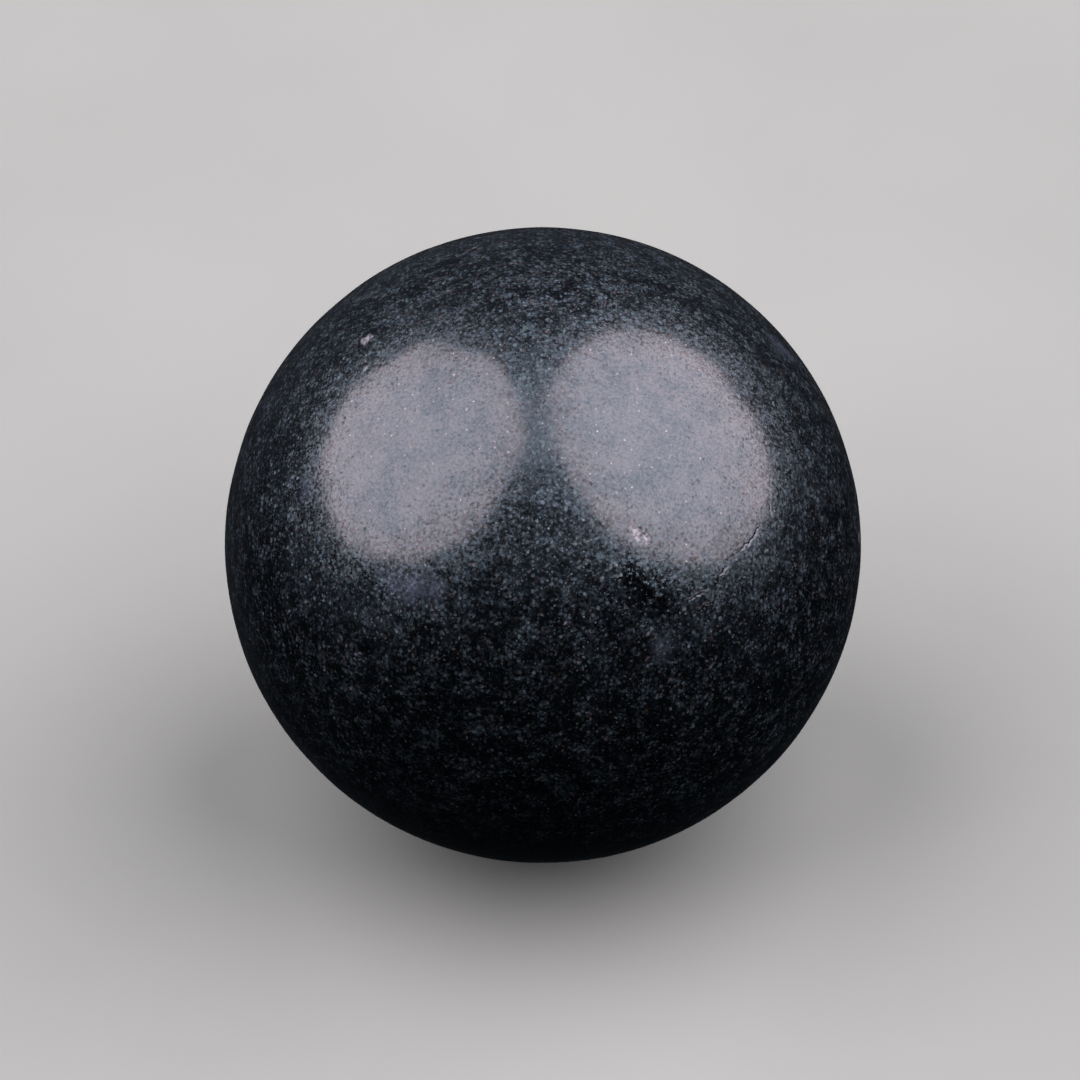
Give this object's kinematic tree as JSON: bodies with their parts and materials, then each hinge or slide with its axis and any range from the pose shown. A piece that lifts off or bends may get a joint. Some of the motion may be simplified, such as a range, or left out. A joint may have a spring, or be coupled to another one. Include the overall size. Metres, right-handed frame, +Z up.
{
  "type": "cue ball",
  "caption": "Near-black glossy speckled cue ball: cast resin cover over a steel-cup shell and resin core, with a filled pin hole at the bottom pole.",
  "frame": {"origin": "centre of the ball, which is also the centre of every piece inside it except the plug", "axes": "+Z up, from the filled pin hole at the bottom pole through the centre; X and Y are free, because the ball is turned about Z"},
  "size_m": [0.0572, 0.0572, 0.0572],
  "materials": {
    "cover_resin": "gloss",
    "plug_resin": "satin",
    "pressed_steel": "satin",
    "core_resin": "matte"
  },
  "bodies": {
    "root": {"outer_cover": "cover_resin", "pin_plug": "plug_resin", "upper_steel_cup": "pressed_steel", "lower_steel_cup": "pressed_steel", "inner_core": "core_resin"}
  },
  "joints": []
}
